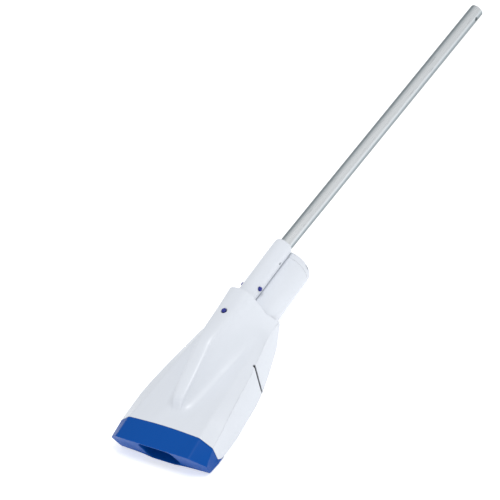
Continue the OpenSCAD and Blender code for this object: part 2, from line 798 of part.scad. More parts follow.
cell_r = 9.1;
cell_l = 65;
cell_ring = 21.5;          // radius of the circle the cells stand on
cell_y = 441;
cell_cap_l = 1.2;
module at_cells() {
  for (i = [0:cell_count - 1])
    translate([0, 0, unit_z]) rotate([0, 360 * i / cell_count, 0]) translate([cell_ring, 0, 0]) children();
}
module battery_cells() {
  color(net_blue)
    at_cells() {
      rod_y(cell_r, cell_y, cell_y + cell_l - cell_cap_l);
      rod_y(2.6, cell_y + cell_l - cell_cap_l, cell_y + cell_l);
    }
}
module cell_carrier(y0, y1, pocket_y0, pocket_y1) {
  difference() {
    unit_rod(grip_bore_r - 0.4, y0, y1);
    unit_rod(9, y0 - overlap, y1 + overlap);
    at_cells() rod_y(cell_r + 0.1, pocket_y0, pocket_y1);
  }
}
board_y = 427;
board_t = 1.6;
module cell_carrier_front() {
  color(inner_grey) {
    cell_carrier(cell_y - 4, cell_y + 4, cell_y - 0.1, cell_y + 5);
    for (turn = [30:90:300])
      translate([0, 0, unit_z]) rotate([0, turn, 0]) translate([24, 0, 0])
        rod_y(2.2, board_y + board_t, cell_y - 3.5);
  }
}
module cell_carrier_rear() {
  color(inner_grey)
    cell_carrier(cell_y + cell_l - 4, cell_y + cell_l + 3, cell_y + cell_l - 5, cell_y + cell_l + 0.1);
}

lead_x = 6;
lead_r = 1.2;
module control_board() {
  color(board_green) {
    unit_rod(28, board_y, board_y + board_t);
    translate([-12, board_y - 8, unit_z - 18]) cube([9, 8.5, 12]);
    translate([4, board_y - 4, unit_z - 16]) cube([12, 4.5, 8]);
    translate([14, 0, unit_z + 8]) rod_y(4, board_y - 11, board_y + 0.5);
  }
}
module motor_leads() {
  color([0.7, 0.1, 0.1])
    for (side = [-1, 1])
      translate([side * lead_x, 0, unit_z + 14]) rod_y(lead_r, motor_end_y, board_y);
}

module end_cap() {
  cap_t = 3;
  spigot_r = grip_bore_r - 0.3;
  flange_r = grip_rear_r - rim_round / 2;
  lug_half = 6;
  color(white_plastic)
    difference() {
      union() {
        translate([0, 0, unit_z]) rotate([-90, 0, 0])
          rotate_extrude($fn = round_fn)
            polygon(concat(
              [[spigot_r - cap_t, cap_y0], [spigot_r, cap_y0]],
              [[spigot_r, unit_end_y - flange_l], [flange_r, unit_end_y - flange_l]],
              rear_rim(60, 90),
              [[button_bore_r, unit_end_y], [button_bore_r, unit_end_y - 5]],
              [[11.5, unit_end_y - 5], [11.5, unit_end_y - cap_t], [spigot_r - cap_t, unit_end_y - cap_t - 3]]
            ));
        for (side = [0, 180])
          translate([0, lug_y0, unit_z]) rotate([0, side, 0])
            intersection() {
              rod_y(lug_r, 0, lug_l);
              translate([spigot_r - 2, 0, -lug_half]) cube([10, lug_l, 2 * lug_half]);
            }
      }
      unit_ring(spigot_r + overlap, spigot_r - 1.6, cap_seal_y - 1, cap_seal_y + 1);
      each_side() translate([contact_x, unit_end_y - 6, unit_z]) rod_y(contact_r + run_gap, 0, 10);
    }
}

module end_cap_seal() {
  wire = 0.9;
  color(rubber_black)
    translate([0, cap_seal_y, unit_z]) rotate([-90, 0, 0])
      rotate_extrude($fn = round_fn) translate([grip_bore_r - run_gap - wire, 0]) circle(r = wire, $fn = 24);
}

module charge_contacts() {
  color(brass) each_side() translate([contact_x, 0, unit_z]) rod_y(contact_r, unit_end_y - 7, unit_end_y + 0.3);
}

module power_button() {
  stem_r = button_bore_r - 0.1;
  stand_out = 1.5;
  color(dark_blue) {
    unit_rod(stem_r, unit_end_y - 6, unit_end_y);
    unit_rod(stem_r, unit_end_y - overlap, unit_end_y + stand_out, stem_r - 2.7);
    unit_rod(11, unit_end_y - 7, unit_end_y - 5.6);
  }
}

// ---- Pole ----------------------------------------------------------------
module pole_tube() {
  join_hole_back = 25;
  join_hole_r = 4.5;
  join_bore_r = pole_r - pole_wall + 0.2;
  join_bore_l = 60;
  color(pole_metal)
    on_pole()
      difference() {
        rod_y(pole_r, pole_start, pole_start + pole_l);
        rod_y(pole_r - pole_wall, pole_start - overlap, pole_start + pole_l + overlap);
        rod_y(join_bore_r, pole_start + pole_l - join_bore_l, pole_start + pole_l + overlap);
        translate([0, clip_at, 0]) rod_x(clip_r + 0.15, -40, 40);
        translate([0, pole_start + pole_l - join_hole_back, 0]) rod_x(join_hole_r, -40, 40);
      }
}

clip_seat = 11.5;
module clip_spring() {
  leaf_t = 0.8;
  leaf_w = 8;
  bend_at = clip_at + 48;
  color(steel)
    on_pole() {
      each_side()
        hull() {
          translate([clip_seat - leaf_t, clip_at - 7, -leaf_w / 2]) cube([leaf_t, 14, leaf_w]);
          translate([1, bend_at, -leaf_w / 2]) cube([leaf_t, 1, leaf_w]);
        }
      translate([-1.8, bend_at, -leaf_w / 2]) cube([3.6, leaf_t * 2, leaf_w]);
    }
}
module clip_button() {
  stand_out = 5;
  tip = 1.6;
  color(dark_blue)
    on_pole()
      translate([0, clip_at, 0]) {
        rod_x(clip_r, clip_seat, socket_r + stand_out - tip);
        translate([socket_r + stand_out - tip, 0, 0]) rotate([0, 90, 0])
          cylinder(r1 = clip_r, r2 = clip_r - tip, h = tip, $fn = small_fn);
      }
}
module clip_button_right() {
  clip_button();
}
module clip_button_left() {
  mirror([1, 0, 0]) clip_button();
}

upper_shell();
lower_shell();
shell_screws();
chamber_bulkhead();
release_lever();
release_button();
lever_pin();
lever_spring();
nozzle();
nozzle_skirt_seal();
inlet_flap();
flap_pin();
motor_housing();
intake_cover();
nose_seal();
filter_hoop();
filter_bag();
impeller();
motor_shaft();
shaft_seal();
motor_can();
motor_screws();
battery_cells();
cell_carrier_front();
cell_carrier_rear();
control_board();
motor_leads();
end_cap();
end_cap_seal();
charge_contacts();
power_button();
pole_tube();
clip_spring();
clip_button_left();
clip_button_right();
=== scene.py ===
import json
import math

import bmesh
import bpy
import numpy as np
from mathutils import Matrix, Vector


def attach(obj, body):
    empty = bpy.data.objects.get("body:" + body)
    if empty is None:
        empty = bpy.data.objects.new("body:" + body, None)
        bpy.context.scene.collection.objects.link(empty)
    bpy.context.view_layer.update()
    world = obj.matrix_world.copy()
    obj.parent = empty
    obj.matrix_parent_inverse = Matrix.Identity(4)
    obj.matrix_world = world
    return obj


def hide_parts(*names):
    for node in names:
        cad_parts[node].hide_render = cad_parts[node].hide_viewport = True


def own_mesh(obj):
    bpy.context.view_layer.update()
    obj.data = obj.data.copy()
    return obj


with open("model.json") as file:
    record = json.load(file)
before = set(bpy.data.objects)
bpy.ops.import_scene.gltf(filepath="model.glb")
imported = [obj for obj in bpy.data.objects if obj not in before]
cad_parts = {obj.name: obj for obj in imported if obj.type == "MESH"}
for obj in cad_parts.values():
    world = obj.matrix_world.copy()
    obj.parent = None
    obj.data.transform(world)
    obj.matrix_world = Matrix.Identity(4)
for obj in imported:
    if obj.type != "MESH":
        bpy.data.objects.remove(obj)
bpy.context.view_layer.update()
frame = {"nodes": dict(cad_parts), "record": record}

# Shapes are worked out in millimetres in the part's own frame and scaled to metres when a mesh is made.
MM = 0.001


# ---- Mesh helpers --------------------------------------------------------
def add_mesh(name, points, faces):
    """A mesh object from points in millimetres."""
    mesh = bpy.data.meshes.new(name)
    mesh.from_pydata([tuple(float(c) * MM for c in p) for p in points], [], faces)
    mesh.validate()
    obj = bpy.data.objects.new(name, mesh)
    bpy.context.scene.collection.objects.link(obj)
    face_outwards(obj)
    return obj


def face_outwards(obj):
    bm = bmesh.new()
    bm.from_mesh(obj.data)
    bmesh.ops.remove_doubles(bm, verts=bm.verts, dist=1e-6)
    bmesh.ops.recalc_face_normals(bm, faces=bm.faces)
    bm.to_mesh(obj.data)
    bm.free()


def shade(obj, angle=32):
    """Smooth shading with sharp edges where faces meet at more than angle degrees."""
    obj.data.shade_smooth()
    obj.data.set_sharp_from_angle(angle=math.radians(angle))


def bake(obj):
    """Turns the object's modifiers into its mesh."""
    graph = bpy.context.evaluated_depsgraph_get()
    mesh = bpy.data.meshes.new_from_object(obj.evaluated_get(graph))
    obj.modifiers.clear()
    obj.data = mesh


def combine(obj, others, operation):
    for other in others:
        modifier = obj.modifiers.new("combine", "BOOLEAN")
        modifier.operation = operation
        modifier.solver = "EXACT"
        modifier.object = other
    bpy.context.view_layer.update()
    bake(obj)
    for other in others:
        bpy.data.objects.remove(other)


def ring_faces(rows, count, closed):
    """Quads between rings of count points laid one after the other."""
    span = count if closed else count - 1
    faces = []
    for r in range(rows - 1):
        for j in range(span):
            a, b = r * count + j, r * count + (j + 1) % count
            faces.append((a, b, b + count, a + count))
    return faces


def loft(name, rings, closed=True, caps=True):
    """A skin through rings that hold the same number of points."""
    count = len(rings[0])
    points = [p for ring in rings for p in ring]
    faces = ring_faces(len(rings), count, closed)
    if caps:
        faces.append(tuple(range(count - 1, -1, -1)))
        last = (len(rings) - 1) * count
        faces.append(tuple(range(last, last + count)))
    return add_mesh(name, points, faces)


def lathe(name, profile, centre, direction, steps=64, caps=True):
    """A surface of revolution. The profile holds (radius, distance along the axis)."""
    axis = Vector(direction).normalized()
    side = axis.orthogonal().normalized()
    other = axis.cross(side)
    rings = []
    for radius, along in profile:
        ring = []
        for k in range(steps):
            a = 2 * math.pi * k / steps
            outwards = side * math.cos(a) + other * math.sin(a)
            ring.append(Vector(centre) + axis * along + outwards * max(radius, 1e-3))
        rings.append(ring)
    return loft(name, rings, caps=caps)


def extrusion(name, outline, place):
    """A flat outline [(a, b)] swept between two ends. place(a, b, end) gives the point, end is 0 or 1."""
    return loft(name, [[place(a, b, end) for a, b in outline] for end in (0, 1)])


def smoothstep(a, b, v):
    """0 up to a, 1 from b on, smooth in between. It falls when a is above b."""
    t = min(max((v - a) / (b - a), 0.0), 1.0)
    return t * t * (3 - 2 * t)


def fillet(before, corner, after, radius, steps=4):
    """Points that round the corner of a flat line."""
    p0, p1, p2 = (np.array(p, float) for p in (before, corner, after))
    d0, d1 = np.linalg.norm(p0 - p1), np.linalg.norm(p2 - p1)
    cut = min(radius, 0.45 * d0, 0.45 * d1)
    a = p1 + (p0 - p1) * cut / max(d0, 1e-6)
    b = p1 + (p2 - p1) * cut / max(d1, 1e-6)
    return [tuple((1 - t) ** 2 * a + 2 * t * (1 - t) * p1 + t * t * b) for t in np.linspace(0, 1, steps + 1)]


# ---- Debris chamber ------------------------------------------------------
HALF_W = 117.0
WING_Z = 68.0
NECK_TOP_Z = 142.0
WALL = 2.6
SEAM_GAP = 0.06
RIM = 0.7
BODY_Y0 = 50.0
BODY_Y1 = 379.0
# y, crown z, spine edge x z, wing foot x z, chamfer x z,
# ridge x z, base x, lower corner radius, scoop of the spine
SECTIONS = np.array([
    [50, WING_Z - 1, 8, WING_Z - 1.2, 30, WING_Z - 1, HALF_W - 27, WING_Z - 1.5,
     HALF_W - 0.5, 46, HALF_W + 1.5, 5, 0],
    [95, WING_Z + 0.5, 9, WING_Z + 0.2, 30, WING_Z, HALF_W - 33, WING_Z - 0.5,
     HALF_W - 3.5, 51.5, HALF_W + 1.5, 5, 0.2],
    [102, WING_Z + 7, 11, WING_Z + 5, 30, WING_Z, HALF_W - 34, WING_Z,
     HALF_W - 4.2, 52.5, HALF_W + 1.4, 5, 0.5],
    [109, WING_Z + 17, 12.5, WING_Z + 12, 31, WING_Z, HALF_W - 34.5, WING_Z,
     HALF_W - 5, 53.5, HALF_W + 1.2, 5, 0.6],
    [120, WING_Z + 25, 13.5, WING_Z + 19, 33, WING_Z + 0.5, HALF_W - 36, WING_Z,
     HALF_W - 6.2, 55, HALF_W + 1, 5, 0.7],
    [155, WING_Z + 38, 15, WING_Z + 33, 38, WING_Z + 1, HALF_W - 38, WING_Z + 0.5,
     HALF_W - 11, 57.5, HALF_W - 3, 5, 0.8],
    [207, WING_Z + 56, 16, WING_Z + 50, 44, WING_Z + 2, HALF_W - 41, WING_Z + 1, 98.5, 58.5, 108.5, 5, 0.8],
    [235, WING_Z + 67, 17.5, WING_Z + 58, 48, WING_Z + 3, 74, WING_Z + 1.5, 94, 58.5, 102.8, 6, 0.75],
    [262, NECK_TOP_Z - 3.5, 19.5, 129, 51, WING_Z + 4, 72, WING_Z + 1, 88.8, 59.5, 96, 7, 0.65],
    [317, NECK_TOP_Z - 3.5, 25.5, 124, 52, WING_Z + 8, 66, 68, 77, 60.5, 79, 10, 0.3],
    [350, NECK_TOP_Z - 2, 28.5, 122, 48.5, 79, 58, 61, 64.5, 51.5, 66.7, 15, 0.1],
    [379, NECK_TOP_Z, 31, 121, 46.5, 80, 51.5, 60, 55, 40, 48.5, 36, 0],
], float)
ROW_Y = SECTIONS[:, 0]
LEAN_Y0, LEAN_Z, LEAN = 330.0, 78.0, 36.0


def section(y):
    """The chamber's design values at y, smooth between the rows."""
    last = len(ROW_Y) - 1
    i = int(min(max(np.searchsorted(ROW_Y, y, "right") - 1, 0), last - 1))
    h = ROW_Y[i + 1] - ROW_Y[i]
    t = (y - ROW_Y[i]) / h

    def slope(k):
        a, b = max(k - 1, 0), min(k + 1, last)
        return (SECTIONS[b] - SECTIONS[a]) / (ROW_Y[b] - ROW_Y[a])

    c = t * t * (3 - 2 * t)
    s = SECTIONS[i] * (1 - c) + SECTIONS[i + 1] * c
    s = s + h * (t * (1 - t) ** 2 * slope(i) + t * t * (t - 1) * slope(i + 1))
    s[0] = y
    return s


def roof_half(s, inset, edge):
    """Right half of the roof from the crown to the ridge, as (x, z)."""
    top = s[1] - inset
    ex, ez = s[2] - inset * 0.8, s[3] - inset * 0.75
    fx, fz = s[4] - inset * 0.5, s[5] - inset
    cx, cz = s[6] - inset * 0.35, s[7] - inset * 0.97
    dx, dz = s[8] - s[6], s[9] - s[7]
    rx, rz = s[8] - inset * math.hypot(dx, dz) / abs(dz), s[9]
    kx = (ex + fx) / 2 * (1 - s[12]) + (ex + 0.1 * (fx - ex)) * s[12]
    kz = (ez + fz) / 2 * (1 - s[12]) + (fz + 0.05 * (ez - fz)) * s[12]
    pts = []
    crown_steps, flank_steps = 10, 14
    for k in range(crown_steps):
        a = math.pi / 2 * k / crown_steps
        pts.append((ex * math.sin(a) ** 0.8, ez + (top - ez) * math.cos(a) ** 0.8))
    for k in range(flank_steps):
        t = k / flank_steps
        pts.append((
            (1 - t) ** 2 * ex + 2 * t * (1 - t) * kx + t * t * fx,
            (1 - t) ** 2 * ez + 2 * t * (1 - t) * kz + t * t * fz,
        ))
    pts += fillet(pts[-1], (fx, fz), (cx, cz), 5)
    pts += fillet((fx, fz), (cx, cz), (rx, rz), 4)
    pts += fillet((cx, cz), (rx, rz), (rx - 8, rz), edge)
    return pts


def tray_half(s, inset, edge):
    """Right half of the tray from the ridge to the floor's centre, as (x, z)."""
    r = max(s[11] - inset, 0.5)
    bx = s[10] - inset - r
    rx, zt = s[8] - inset, s[9] - SEAM_GAP
    pts = fillet((rx - 8, zt), (rx, zt), (bx + r, inset + r), edge)
    steps = 10
    for k in range(steps + 1):
        a = math.pi / 2 * k / steps
        pts.append((bx + r * math.cos(a), inset + r - r * math.sin(a)))
    for share in (0.75, 0.5, 0.25, 0.0):
        pts.append((bx * share, inset))
    return pts


def mirrored(half):
    """The whole line from the right half, from left to right. The half starts or ends on the centreline."""
    left = [(-x, z) for x, z in half]
    if abs(half[0][0]) < 1e-6:
        return left[:0:-1] + half
    return left + half[-2::-1]


def lean(y, z):
    """How far the chamber's rear end leans back at height z."""
    if y <= LEAN_Y0 or z >= LEAN_Z:
        return 0.0
    return LEAN * ((y - LEAN_Y0) / (BODY_Y1 - LEAN_Y0)) ** 2 * (1 - z / LEAN_Z)


def front_bow(x, y, z):
    """How far back the join between chamber and nozzle bows in the middle of the roof."""
    depth, half_width, fade_y = 4.0, 104.0, 24
    across = max(1 - (x / half_width) ** 2, 0.0)
    return depth * across * smoothstep(44, 66, z) * (1 - smoothstep(BODY_Y0 + RIM, BODY_Y0 + fade_y, y))


def body_rows():
    """(y, inset) of each row of the outer skin. The first and last rows round the rims."""
    rows = [(BODY_Y0, RIM), (BODY_Y0 + 0.2, RIM * 0.3), (BODY_Y0 + RIM, 0.0)]
    spacing = 3.6
    for i in range(len(ROW_Y) - 1):
        steps = max(2, math.ceil((ROW_Y[i + 1] - ROW_Y[i]) / spacing))
        for k in range(steps):
            y = ROW_Y[i] + (ROW_Y[i + 1] - ROW_Y[i]) * k / steps
            if y > BODY_Y0 + RIM:
                rows.append((y, 0.0))
    rows += [(BODY_Y1 - RIM, 0.0), (BODY_Y1 - 0.2, RIM * 0.3), (BODY_Y1, RIM)]
    return rows


def shell(name, half):
    """Closed skin of one chamber shell, with a wall between its outer and its inner rings."""
    outer, inner = [], []
    for y, inset in body_rows():
        s = section(y)
        for rings, depth, edge in ((outer, inset, 0.6), (inner, WALL, 0.05)):
            line = mirrored(half(s, depth, edge))
            rings.append([(x, y + lean(y, z) + front_bow(x, y, z), z) for x, z in line])
    rows, count = len(outer), len(outer[0])
    points = [p for ring in outer + inner for p in ring]
    faces = ring_faces(rows, count, False)
    start = rows * count
    faces += [tuple(start + v for v in reversed(f)) for f in ring_faces(rows, count, False)]
    for r in range(rows - 1):
        a = r * count
        faces.append((a + count, a, start + a, start + a + count))
        b = a + count - 1
        faces.append((b, b + count, start + b + count, start + b))
    for j in range(count - 1):
        faces.append((j + 1, j, start + j, start + j + 1))
        b = (rows - 1) * count + j
        faces.append((b, b + 1, start + b + 1, start + b))
    return add_mesh(name, points, faces)


def roof_height(x, y):
    """Height of the middle of the roof's wall."""
    half = roof_half(section(y), WALL / 2, 0.05)
    return float(np.interp(x, [p[0] for p in half], [p[1] for p in half]))


def rod(name, radius, start, end, steps=40):
    """A closed cylinder between two points in millimetres, used to cut and to join."""
    start, end = Vector(start), Vector(end)
    return lathe(name, [(radius, 0), (radius, (end - start).length)], start, end - start, steps)


VENT_X, VENT_Y, VENT_Z, VENT_W, VENT_LEAN = 84.0, 237.0, 5.0, 6.0, math.radians(20)


def vent_cutter(side):
    """A bar with a round inner end that cuts the water slot in one side."""
    r = VENT_W / 2
    outline = [(45.0, VENT_W), (45.0, 0.0)]
    for k in range(13):
        a = -math.pi / 2 - math.pi * k / 12
        outline.append((r + r * math.cos(a), r + r * math.sin(a)))

    def place(a, b, end):
        along = 72.0 * end
        y = VENT_Y + b * math.cos(VENT_LEAN) + along * math.sin(VENT_LEAN)
        z = VENT_Z - b * math.sin(VENT_LEAN) + along * math.cos(VENT_LEAN)
        return (side * (VENT_X + a), y, z)

    return extrusion("vent", outline, place)


SCREW_SPOTS = [(70, 86), (70, 190), (55, 300)]
BUTTON_Y, BUTTON_R = 317.0, 5.0
LEVER_Z = 133.2


def each_screw():
    for x, y in SCREW_SPOTS:
        for side in (-1, 1):
            yield side * x, y


def make_upper_shell():
    obj = shell("upper_shell_skin", roof_half)
    bosses = [rod("boss", 4, (x, y, 6.2), (x, y, roof_height(abs(x), y))) for x, y in each_screw()]
    combine(obj, bosses, "UNION")
    cuts = [vent_cutter(side) for side in (-1, 1)]
    cuts += [rod("pilot", 1.6, (x, y, 4), (x, y, 29)) for x, y in each_screw()]
    # a dished recess round the release button
    cuts.append(lathe("dish", [(5.7, -8), (5.7, 3.2), (6.4, 4.2), (8.6, 7.5), (8.6, 20)],
                      (0, BUTTON_Y, LEVER_Z), (0, 0, 1), 48))
    combine(obj, cuts, "DIFFERENCE")
    return obj


def make_lower_shell():
    obj = shell("lower_shell_skin", tray_half)
    combine(obj, [rod("pillar", 5.5, (x, y, 0.8), (x, y, 6)) for x, y in each_screw()], "UNION")
    cuts = [vent_cutter(side) for side in (-1, 1)]
    for x, y in each_screw():
        cuts.append(lathe("counterbore", [(4.2, -1), (4.2, 0), (3.6, 0.6), (3.6, 2.9), (1.9, 2.9), (1.9, 9)],
                          (x, y, 0), (0, 0, 1), 40))
    # the nozzle's strip runs back into this notch, which rises towards the front
    notch = [(0, -1), (67.4, -1), (67.4, 3.9), (58, 6.5), (50, 12.6), (0, 12.6)]
    cuts.append(extrusion("notch", notch, lambda y, z, end: ((HALF_W + 10) * (2 * end - 1), y, z)))
    combine(obj, cuts, "DIFFERENCE")
    return obj


# ---- Nozzle --------------------------------------------------------------
def full_ring(half):
    """A closed ring from its right half, which runs from the top centre to the bottom centre."""
    return half + [(-x, y, z) for x, y, z in half[-2:0:-1]]


def nozzle_corners(points, radii):
    """Right half of a nozzle ring: a top edge, three rounded corners and the floor, as (x, y, z)."""
    top, upper, side, lower, floor = (np.array(p, float) for p in points)
    half = [tuple(top + (upper - top) * k / 4) for k in range(4)]
    half += fillet(top, upper, side, radii[0], 6)
    half.append(tuple((upper + side) / 2))
    half += fillet(upper, side, lower, radii[1], 6)
    half.append(tuple((side + lower) / 2))
    half += fillet(side, lower, floor, radii[2], 8)
    half += [tuple(lower + (floor - lower) * share) for share in (0.35, 0.6, 0.8, 1.0)]
    return [tuple(float(c) for c in p) for p in half]


def rear_ring(y, d):
    """Ring of the nozzle's rear end, moved inwards by d."""
    points = [(0, y, 67 - d), (90 - 0.35 * d, y, 66.5 - 0.97 * d), (116.5 - 1.25 * d, y, 46 - 0.3 * d),
              (118.5 - d, y, d), (0, y, d)]
    ring = full_ring(nozzle_corners(points, (5, 3, max(5 - d, 1.2))))
    return [(px, py + front_bow(px, BODY_Y0, pz), pz) for px, py, pz in ring]


def front_ring(d, back=0.0):
    """Ring of the nozzle's front edge, moved inwards by d and back by back."""
    points = [(0, back + d / 3, 60 - d), (92 - 0.8 * d, back + d / 3, 60 - d),
              (121.5 - 1.1 * d, back + 11.5, 33), (114 - d, back + 20 - d / 3, d), (0, back + 20 - d / 3, d)]
    return full_ring(nozzle_corners(points, (4, 4, max(4 - d, 1.2))))


MOUTH_HALF, MOUTH_TOP, MOUTH_FLOOR, LIP = 43.0, 55.5, 3.6, 5.5


def mouth_ring(grow, back=0.0):
    """Ring of the mouth on the leaning front face, with a lower lip that stands out."""
    w, top, floor = MOUTH_HALF + grow, MOUTH_TOP + grow, MOUTH_FLOOR - grow
    r_top, r_floor = 15.0, 6.0
    flat = [(0.0, top), (8.0, top), (16.0, top), (23.0, top)]
    for k in range(7):
        a = math.pi / 2 * (1 - k / 6)
        flat.append((w - r_top + r_top * math.cos(a), top - r_top + r_top * math.sin(a)))
    side_top, side_low = top - r_top - 2, floor + r_floor + 2
    flat.append((w, side_top))
    flat += [(w, side_top + (side_low - side_top) * (k + 1) / 8) for k in range(7)]
    flat.append((w, side_low))
    for k in range(9):
        a = -math.pi / 2 * k / 8
        flat.append((w - r_floor + r_floor * math.cos(a), floor + r_floor + r_floor * math.sin(a)))
    flat += [(w * share, floor) for share in (0.6, 0.4, 0.2, 0.0)]
    half = []
    for x, z in flat:
        lip = LIP * smoothstep(16, 4, z) * smoothstep(MOUTH_HALF + 6, MOUTH_HALF - 16, x)
        half.append((x, (60 - z) / 3 - lip + back, z))
    return full_ring(half)


def duct_ring(y, grow):
    """Ring of the duct's rear end."""
    w, top, floor, r = 39.0 + grow, 50.0 + grow, 7.5 - grow, 7.0 + grow
    points = [(0, y, top), (w, y, top), (w, y, (top + floor) / 2), (w, y, floor), (0, y, floor)]
    return full_ring(nozzle_corners(points, (r, 1, r)))


def ring_mix(a, b, t):
    """The ring a share t of the way from ring a to ring b."""
    return [tuple(p * (1 - t) + q * t for p, q in zip(u, v)) for u, v in zip(a, b)]


def make_nozzle():
    rear_y, skirt_y, wall_t, edge_r = 49.8, 62.0, 2.4, 1.7
    skirt_in, skirt_t = 4.3, 2.0
    rear, front = rear_ring(rear_y, 0), front_ring(0)
    rings = []
    # outside, from the rear rim to the front edge
    rings += [rear_ring(rear_y, 1.1), rear_ring(rear_y - 0.3, 0.3), rear_ring(rear_y - 1.1, 0)]
    side = [ring_mix(rear, front, t) for t in np.linspace(0.1, 0.9, 7)]
    rings += side
    face = front_ring(edge_r)
    for k in range(5):
        a = math.pi / 2 * k / 4
        ring = []
        for p, f, q in zip(rear, front, face):
            p, f, q = (np.array(v) for v in (p, f, q))
            back = (p - f) / np.linalg.norm(p - f)
            ring.append(tuple(f + back * edge_r * (1 - math.sin(a)) + (q - f) * (1 - math.cos(a))))
        rings.append(ring)
    # front face, mouth edge and duct
    mouth = mouth_ring(1.3)
    rings += [ring_mix(face, mouth, t) for t in (0.25, 0.5, 0.75, 0.9, 1.0)]
    rings += [mouth_ring(0.4, 0.35), mouth_ring(0.0, 1.3)]
    inner, duct_end = mouth_ring(0.0, 1.3), duct_ring(56, 0)
    rings += [ring_mix(inner, duct_end, t) for t in (0.1, 0.25, 0.4, 0.55, 0.7, 0.85, 1.0)]
    outer_end, outer_mouth = duct_ring(56, 2.2), mouth_ring(2.2, wall_t)
    rings += [outer_end] + [ring_mix(outer_end, outer_mouth, t) for t in (0.3, 0.6, 0.98)]
    # inside of the housing, the skirt that plugs into the chamber, and the rear face
    inside_front = front_ring(wall_t, wall_t)
    step = rear_ring(rear_y - 2.8, wall_t)
    rings += [inside_front] + [ring_mix(inside_front, step, t) for t in (0.3, 0.6, 1.0)]
    rings += [rear_ring(rear_y - 2.8, skirt_in + skirt_t), rear_ring(skirt_y, skirt_in + skirt_t)]
    rings += [rear_ring(skirt_y, skirt_in + 0.6), rear_ring(skirt_y - 0.8, skirt_in)]
    rings.append(rear_ring(rear_y, skirt_in))
    rings.append(rings[0])
    obj = loft("nozzle_body", rings, caps=False)
    combine(obj, [nozzle_tab()], "UNION")
    combine(obj, flap_ears(), "UNION")
    return obj


def flap_ears():
    """Two ears behind the duct that carry the flap's pin, each with a web down to the duct."""
    pin_y, pin_z, ear_r, inner_x, thick = 58.9, 55.5, 4.2, 39.6, 2.4
    web = [(48.0, 49.5), (60.0, 49.5), (61.5, 54.0), (58.9, 57.5), (48.0, 57.5)]
    ears = []
    for side in (-1, 1):
        start, end = (side * inner_x, pin_y, pin_z), (side * (inner_x + thick), pin_y, pin_z)
        ears.append(rod("ear", ear_r, start, end))
        ears.append(extrusion("web", web, lambda a, b, end, s=side: (s * (inner_x + thick * end), a, b)))
    return ears


def nozzle_tab():
    """Strip under the nozzle that runs back below the chamber's front edge, with a fin at each end."""
    floor_z, strip_z, corner = 0.1, 3.2, 5.0
    rings = []
    for y in np.linspace(46, 67, 12):
        top = 3.7 + 8.5 * (1 - smoothstep(49, 66, y)) ** 1.4
        side = 118.2 - 1.2 * smoothstep(65.5, 67, y)
        half = [(side, top)]
        for k in range(7):
            a = math.pi / 2 * k / 6
            z = corner - corner * math.sin(a) + floor_z
            half.append((side - corner + corner * math.cos(a), min(z, top - 0.1)))
        outer = half + [(0.0, floor_z)]
        inner = fillet((side - 2.8, top), (side - 2.8, strip_z), (0, strip_z), 2, 4)
        inner = [(side - 2.8, top)] + inner + [(0.0, strip_z)]
        ring = mirrored_line(outer) + mirrored_line(inner)[::-1]
        rings.append([(x, y, z) for x, z in ring])
    return loft("tab", rings)


def mirrored_line(half):
    """From the right end to the left end of a line given by its right half, which ends on the centreline."""
    return half + [(-x, z) for x, z in half[-2::-1]]


# ---- Filter bag ----------------------------------------------------------
UNIT_Z = 49.5


def make_filter_bag():
    """A net sock with soft folds, gathered at its closed end."""
    mouth_y, tip_y, steps = 221.0, 113.0, 120
    rings = []
    for k in range(46):
        t = k / 45
        y = mouth_y + (tip_y - mouth_y) * t
        r = 31.4 - 11.6 * t ** 1.15
        r *= math.sqrt(max(1 - max((t - 0.9) / 0.104, 0) ** 2, 0.002))
        fold = 0.9 * smoothstep(0.04, 0.45, t) * (1 - smoothstep(0.93, 1.0, t))
        ring = []
        for j in range(steps):
            a = 2 * math.pi * j / steps
            wave = math.sin(9 * a + 4 * t) + 0.6 * math.sin(5 * a - 7 * t) + 0.3 * math.sin(17 * a + 11 * t)
            rr = max(r + fold * wave * r / 32, 0.3)
            sag = -1.4 * smoothstep(0.1, 0.8, t)
            ring.append((rr * math.cos(a), y, UNIT_Z + sag + rr * math.sin(a)))
        rings.append(ring)
    obj = loft("filter_bag_net", rings, caps=False)
    solid = obj.modifiers.new("cloth", "SOLIDIFY")
    solid.thickness = 0.7 * MM
    bake(obj)
    return obj


def make_bag_hem():
    """Folded band sewn round the bag's mouth, with a drawcord."""
    rings = []
    profile = [(31.0, 220.8), (32.3, 220.6), (32.45, 219.0), (32.1, 217.3),
               (32.4, 216.2), (32.2, 214.6), (31.3, 214.2), (30.9, 217.5)]
    steps = 120
    for k in range(len(profile) + 1):
        r, y = profile[k % len(profile)]
        ring = []
        for j in range(steps):
            a = 2 * math.pi * j / steps
            pucker = 0.12 * math.sin(48 * a)
            ring.append(((r + pucker) * math.cos(a), y, UNIT_Z + (r + pucker) * math.sin(a)))
        rings.append(ring)
    return loft("filter_bag_hem", rings, caps=False)


# ---- Small moulded parts -------------------------------------------------
def make_release_button():
    top, foot, r, round_r = 141.0, LEVER_Z + 1.5, BUTTON_R - 0.1, 1.2
    profile = [(r - 0.3, foot), (r, foot + 0.3), (r, top - round_r)]
    for k in range(1, 5):
        a = math.pi / 2 * k / 4
        profile.append((r - round_r + round_r * math.cos(a), top - round_r + round_r * math.sin(a)))
    profile += [(2.8, top), (2.5, top - 0.25), (0.5, top - 0.45)]
    return lathe("release_button_cap", profile, (0, BUTTON_Y, 0), (0, 0, 1), 48)


POLE_MID_Y, SOCKET_Z, POLE_TILT = 464.0, 110.0, math.radians(3)
POLE_DIR = Vector((0, math.cos(POLE_TILT), -math.sin(POLE_TILT)))
CLIP_ALONG = -53


def on_pole(along, across=0.0):
    """The point on the pole's centreline at along, moved sideways by across."""
    return Vector((across, POLE_MID_Y, SOCKET_Z)) + POLE_DIR * along


